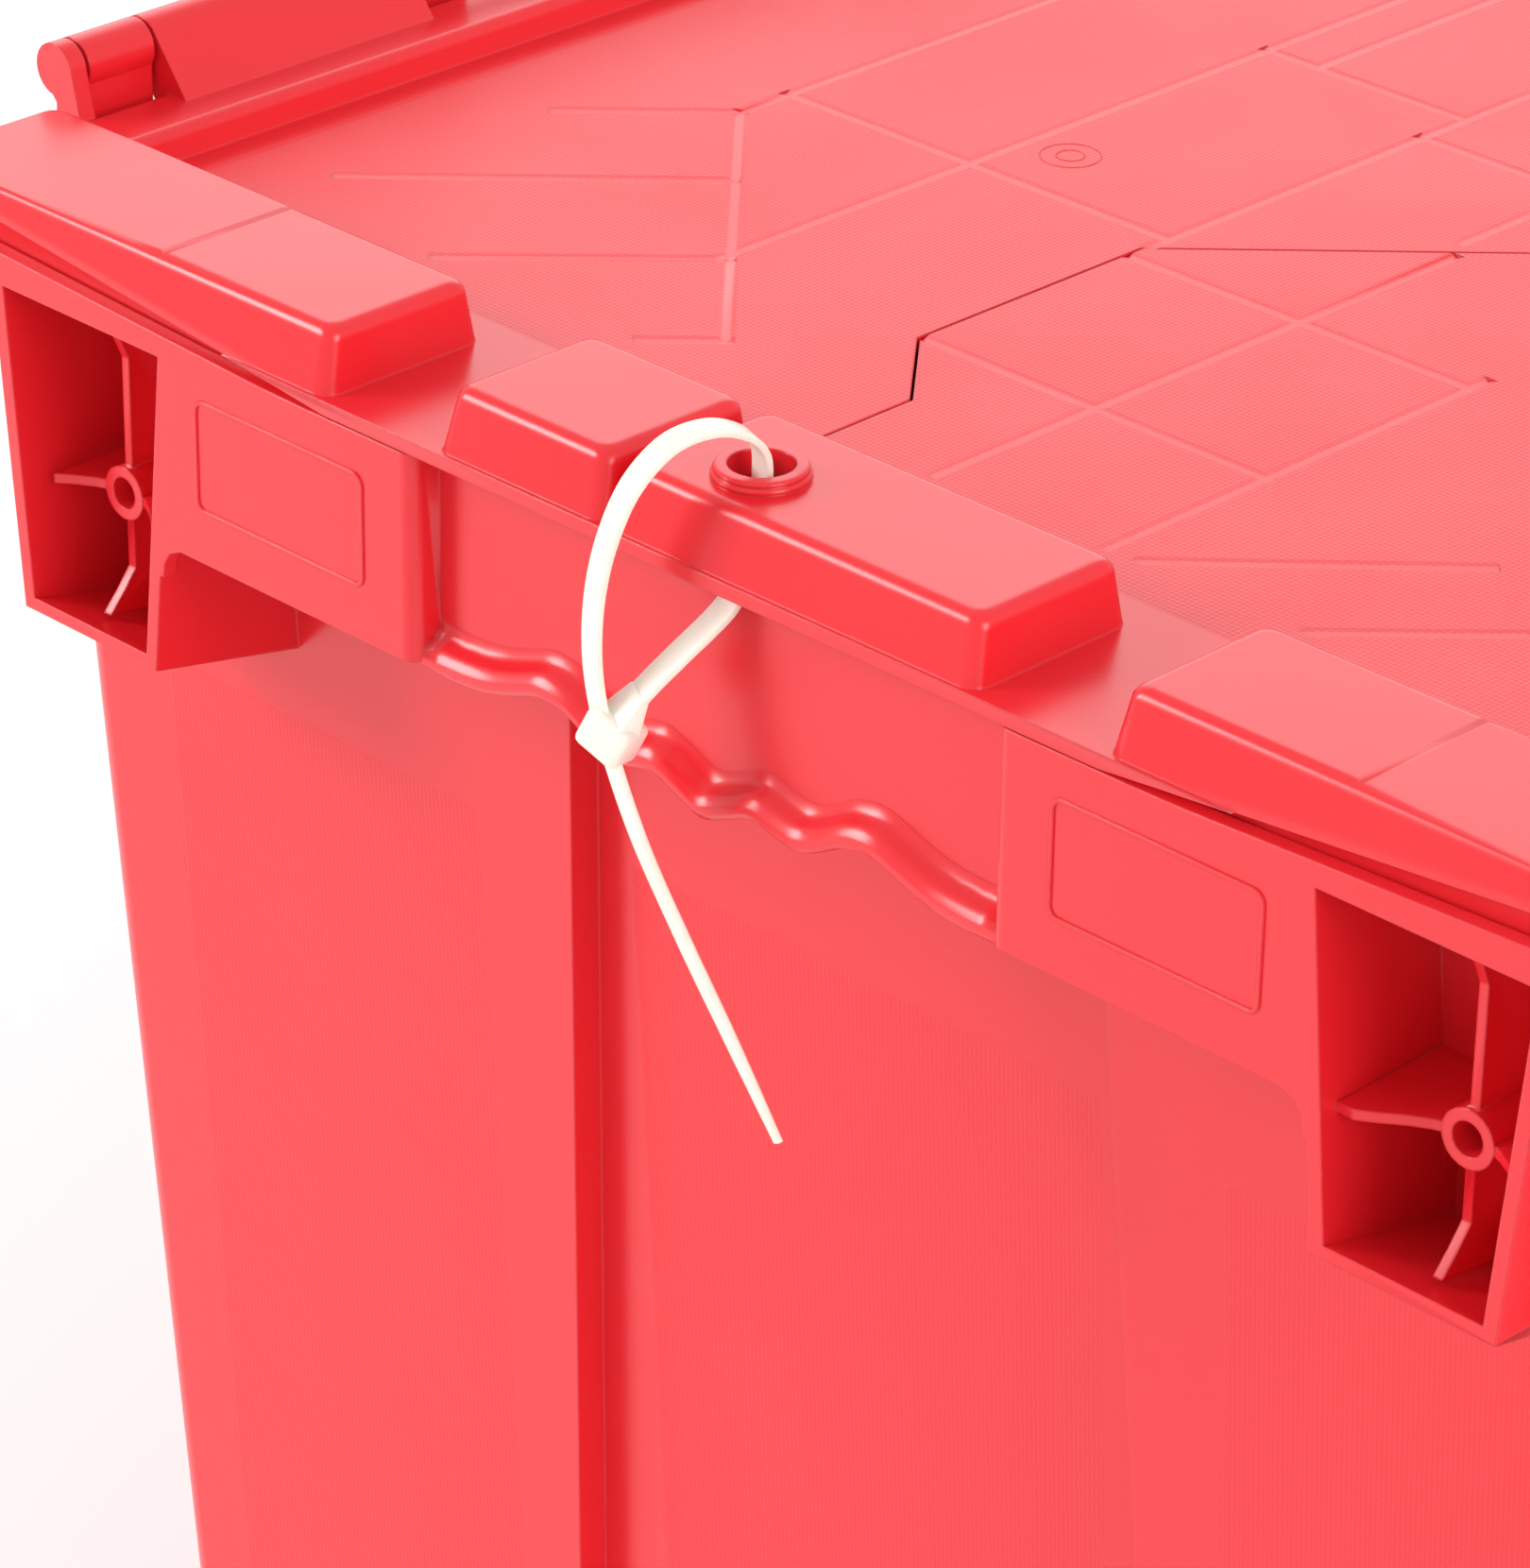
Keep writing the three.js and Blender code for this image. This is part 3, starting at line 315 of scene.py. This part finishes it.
tiePlan = {
    "width": 4.8 * mm,
    "thickness": 1.2 * mm,
    "edgeRound": 0.3 * mm,
    "steps": 150,
    # each point: inset from the end face, sideways, height above the deck, in millimetres
    "path": [
        (-8.2, 6.6, -25), (-6.2, 4.4, -20), (-2.0, 1.0, -14), (2.4, -2.6, -8), (4.0, -4.6, -4),
        (4.2, -4.8, -0.5), (8.0, -3.4, 3.6), (12.6, -1.2, 6.6), (14.0, -0.4, 10.5), (13.6, -0.2, 15.0),
        (10.4, 0.4, 18.4), (5.0, 1.8, 20.2), (-0.8, 4.2, 18.6), (-5.2, 7.2, 12.5), (-7.6, 9.6, 4.0),
        (-8.8, 11.0, -5.0), (-9.4, 11.0, -14.0), (-9.4, 9.8, -22.0), (-9.2, 7.2, -30.0),
        (-8.4, 1.4, -43.0), (-7.0, -6.6, -57.0), (-5.6, -15.4, -71.0), (-4.6, -24.2, -84.5),
    ],
    "headSize": (6.6 * mm, 8.2 * mm, 6.8 * mm),
    "headRound": 1.2 * mm,
    "headTurn": (0.42, 0.12, 0.2),
    "headPlace": (-8.8, 7.4, -26.6),
    "neckLength": 6.5 * mm,
    "neckWide": 7.4 * mm,
    "neckThick": 4.2 * mm,
}


def tiePoint(inset, across, up):
    return Vector((-endX + inset * mm, across * mm, deckTop + up * mm))


def smoothPath(points, steps):
    # a smooth line through every point, evenly spread
    spans = len(points) - 1
    padded = [points[0] * 2 - points[1]] + points + [points[-1] * 2 - points[-2]]
    line = []
    for i in range(steps + 1):
        t = i / steps * spans
        k = min(int(t), spans - 1)
        u = t - k
        a, b, c, d = padded[k:k + 4]
        line.append(0.5 * ((2 * b) + (c - a) * u + (2 * a - 5 * b + 4 * c - d) * u * u
                           + (3 * b - a - 3 * c + d) * u ** 3))
    return line


def makeTie(plan):
    line = smoothPath([tiePoint(*p) for p in plan["path"]], plan["steps"])
    bm = bmesh.new()
    # the strap's cross-section, a flat bar with rounded corners, drawn once and carried along
    bmesh.ops.create_grid(bm, x_segments=1, y_segments=1, size=0.5)
    bmesh.ops.scale(bm, vec=(plan["width"], plan["thickness"], 1), verts=bm.verts[:])
    bmesh.ops.bevel(bm, geom=bm.verts[:], offset=plan["edgeRound"], affect="VERTICES", segments=3,
                    profile=0.5, material=-1)
    section = [v.co.copy() for v in bm.verts]
    frames = []
    for i, here in enumerate(line):
        ahead = (line[min(i + 1, len(line) - 1)] - line[max(i - 1, 0)]).normalized()
        across = Vector((0.28, 0.96, 0.05))
        across = (across - ahead * across.dot(ahead)).normalized()
        normal = ahead.cross(across)
        share = i / (len(line) - 1)
        taper = max(0.42, 1 - max(0.0, share - 0.93) * 7)
        frames.append((here, across, normal, ahead, taper))

    def placed(co, frameAt):
        here, across, normal, ahead, taper = frameAt
        return here + across * co.x * taper + normal * co.y * min(1.0, taper + 0.2)

    ring = bm.verts[:]
    for v, co in zip(ring, section):
        v.co = placed(co, frames[0])
    edges = bm.edges[:]
    index = {v: i for i, v in enumerate(ring)}
    for frameAt in frames[1:]:
        made = bmesh.ops.extrude_edge_only(bm, edges=edges)["geom"]
        newVerts = [g for g in made if isinstance(g, bmesh.types.BMVert)]
        newEdges = [g for g in made if isinstance(g, bmesh.types.BMEdge)
                    and all(v in newVerts for v in g.verts)]
        # a new point sits where its old neighbour is until it is carried on
        following = {}
        for v in newVerts:
            old = min(index, key=lambda o: (o.co - v.co).length_squared)
            following[v] = index[old]
        for v, i in following.items():
            v.co = placed(section[i], frameAt)
        index = following
        edges = newEdges
    bmesh.ops.holes_fill(bm, edges=edges, sides=0)
    bmesh.ops.recalc_face_normals(bm, faces=bm.faces[:])

    # the head is a chunky box with soft corners
    head = bmesh.new()
    bmesh.ops.create_cube(head, size=1.0)
    bmesh.ops.scale(head, vec=plan["headSize"], verts=head.verts[:])
    bmesh.ops.bevel(head, geom=head.edges[:], offset=plan["headRound"], affect="EDGES", segments=3,
                    profile=0.5, material=-1)
    turn = Matrix.Rotation(plan["headTurn"][2], 4, "Z") @ Matrix.Rotation(plan["headTurn"][1], 4, "Y") \
        @ Matrix.Rotation(plan["headTurn"][0], 4, "X")
    bmesh.ops.transform(head, matrix=Matrix.Translation(tiePoint(*plan["headPlace"])) @ turn,
                        verts=head.verts[:])
    tie = pieceFrom(bm, "cableTieStrap", nylon, "lid_right", 40)
    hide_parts("cable_tie")
    block = pieceFrom(head, "cableTieHead", nylon, "lid_right", 40)

    # the neck widens from the strap into the head
    neck = bmesh.new()
    bmesh.ops.create_cone(neck, cap_ends=True, segments=4, radius1=math.sqrt(0.5), radius2=math.sqrt(0.5),
                          depth=1.0, matrix=Matrix.Rotation(math.radians(45), 4, "Z"))
    bmesh.ops.translate(neck, vec=(0, 0, 0.5), verts=neck.verts[:])
    here, across, normal, ahead = frames[0][:4]
    for v in neck.verts:
        share = v.co.z
        wide = plan["neckWide"] * (1 - share) + plan["width"] * 0.98 * share
        thick = plan["neckThick"] * (1 - share) + plan["thickness"] * 1.05 * share
        v.co = here + across * v.co.x * wide + normal * v.co.y * thick + ahead * share * plan["neckLength"]
    bmesh.ops.bevel(neck, geom=neck.edges[:], offset=0.3 * mm, affect="EDGES", segments=2, profile=0.5,
                    material=-1)
    bmesh.ops.recalc_face_normals(neck, faces=neck.faces[:])
    throat = pieceFrom(neck, "cableTieNeck", nylon, "lid_right", 40)


makeTie(tiePlan)
print("cable tie made")


# moulded details: plain raised outlines on the flat end panels, and the gate mark

panelFramePlan = {
    "middle": 91.4 * mm,
    "height": 19.6 * mm,
    "width": 39.6 * mm,
    "centreDrop": 19.2 * mm,
    "corner": 2.2 * mm,
    "line": 0.75 * mm,
    "proud": 0.3 * mm,
    "sunk": 0.3 * mm,
}


def makePanelFrame(end, side, plan):
    # a thin rounded frame standing a little proud of the panel
    bm = bmesh.new()
    bmesh.ops.create_grid(bm, x_segments=1, y_segments=1, size=0.5)
    bmesh.ops.scale(bm, vec=(plan["width"], plan["height"], 1), verts=bm.verts[:])
    bmesh.ops.bevel(bm, geom=bm.verts[:], offset=plan["corner"], affect="VERTICES", segments=6, profile=0.5,
                    material=-1)
    inner = bmesh.ops.inset_region(bm, faces=bm.faces[:], thickness=plan["line"], use_even_offset=True,
                                    use_boundary=True)
    bmesh.ops.delete(bm, geom=[f for f in bm.faces if f not in inner["faces"]], context="FACES")
    depth = plan["proud"] + plan["sunk"]
    raised = bmesh.ops.extrude_face_region(bm, geom=bm.faces[:])["geom"]
    top = [g for g in raised if isinstance(g, bmesh.types.BMVert)]
    bmesh.ops.translate(bm, vec=(0, 0, depth), verts=top)
    across = Vector((0, -end, 0))
    outward = Vector((end, 0, 0))
    place = Vector((end * (endX - plan["sunk"]), side * plan["middle"], deckTop - plan["centreDrop"]))
    turn = Matrix((across, outward.cross(across), outward)).transposed().to_4x4()
    bmesh.ops.transform(bm, matrix=Matrix.Translation(place) @ turn, verts=bm.verts[:])
    bmesh.ops.recalc_face_normals(bm, faces=bm.faces[:])
    name = "panelFrame" + ("Near" if end < 0 else "Far") + ("Left" if side > 0 else "Right")
    frameLine = pieceFrom(bm, name, totePlastic, "tote", 50)


for end in (-1, 1):
    for side in (-1, 1):
        makePanelFrame(end, side, panelFramePlan)

gatePlan = {
    "place": (-121.4 * mm, 69.3 * mm),
    "ring": 5.2 * mm,
    "inner": 2.4 * mm,
    "thick": 0.22 * mm,
    "sunk": 0.12 * mm,
}


def makeGateMark(body, turnedRound, plan):
    # the small double ring left where the melt entered the mould
    bm = bmesh.new()
    sign = -1 if turnedRound else 1
    place = Vector((sign * plan["place"][0], sign * plan["place"][1], deckTop - plan["sunk"]))
    for radius in (plan["ring"], plan["inner"]):
        circle = bmesh.ops.create_circle(bm, segments=10, radius=plan["thick"], cap_ends=False)["verts"]
        edges = list({e for v in circle for e in v.link_edges})
        bmesh.ops.rotate(bm, cent=(0, 0, 0), matrix=Matrix.Rotation(math.radians(90), 3, "X"), verts=circle)
        bmesh.ops.translate(bm, vec=(radius, 0, 0), verts=circle)
        bmesh.ops.spin(bm, geom=circle + edges, cent=(0, 0, 0), axis=(0, 0, 1), angle=math.tau, steps=48,
                       use_merge=True)
    bmesh.ops.remove_doubles(bm, verts=bm.verts[:], dist=0.001 * mm)
    bmesh.ops.recalc_face_normals(bm, faces=bm.faces[:])
    bmesh.ops.translate(bm, vec=place, verts=bm.verts[:])
    mark = pieceFrom(bm, "gateMark" + ("Right" if turnedRound else "Left"), lidPlastic, body, 60)


makeGateMark("lid_left", False, gatePlan)
makeGateMark("lid_right", True, gatePlan)
print("moulded details made")


# light and floor

studioPlan = {
    "worldStrength": 0.80,
    "target": (-0.25, 0.0, 0.38),
    "floorColour": "#F4F4F4",
    "floorSize": 8.0,
    # name: power in watts, size in metres, place
    "lights": {
        "keyLight": (26.0, 0.8, (-1.6, 1.5, 1.3)),
        "fillLight": (34.0, 1.4, (-0.45, -2.4, 1.4)),
        "hazeLight": (26.0, 2.6, (2.3, 2.3, 1.9)),
    },
}


def areaLight(name, power, size, place, target):
    data = bpy.data.lights.new(name, "AREA")
    data.energy = power
    data.size = size
    light = bpy.data.objects.new(name, data)
    direction = Vector(place) - Vector(target)
    light.matrix_world = Matrix.Translation(place) @ direction.to_track_quat("Z", "Y").to_matrix().to_4x4()
    bpy.context.scene.collection.objects.link(light)


def makeStudio(plan):
    scene = bpy.context.scene
    scene.view_settings.view_transform = "Standard"
    world = bpy.data.worlds.new("paleStudio")
    world.use_nodes = True
    world.node_tree.nodes.clear()
    sky = addNode(world.node_tree, "ShaderNodeBackground", {"Color": fromHex("#FFFFFF"),
                  "Strength": plan["worldStrength"]})
    addNode(world.node_tree, "ShaderNodeOutputWorld", {"Surface": sky.outputs[0]})
    scene.world = world
    for name, (power, size, place) in plan["lights"].items():
        areaLight(name, power, size, place, plan["target"])
    material, tree = emptyMaterial("paleSweep")
    shader = addNode(tree, "ShaderNodeBsdfPrincipled", {"Base Color": fromHex(plan["floorColour"]),
                     "Roughness": 0.9})
    addNode(tree, "ShaderNodeOutputMaterial", {"Surface": shader.outputs[0]})
    bm = bmesh.new()
    bmesh.ops.create_grid(bm, x_segments=1, y_segments=1, size=plan["floorSize"])
    mesh = bpy.data.meshes.new("studioFloor")
    bm.to_mesh(mesh)
    bm.free()
    mesh.materials.append(material)
    floor = bpy.data.objects.new("studioFloor", mesh)
    bpy.context.scene.collection.objects.link(floor)


makeStudio(studioPlan)
print("studio lit")
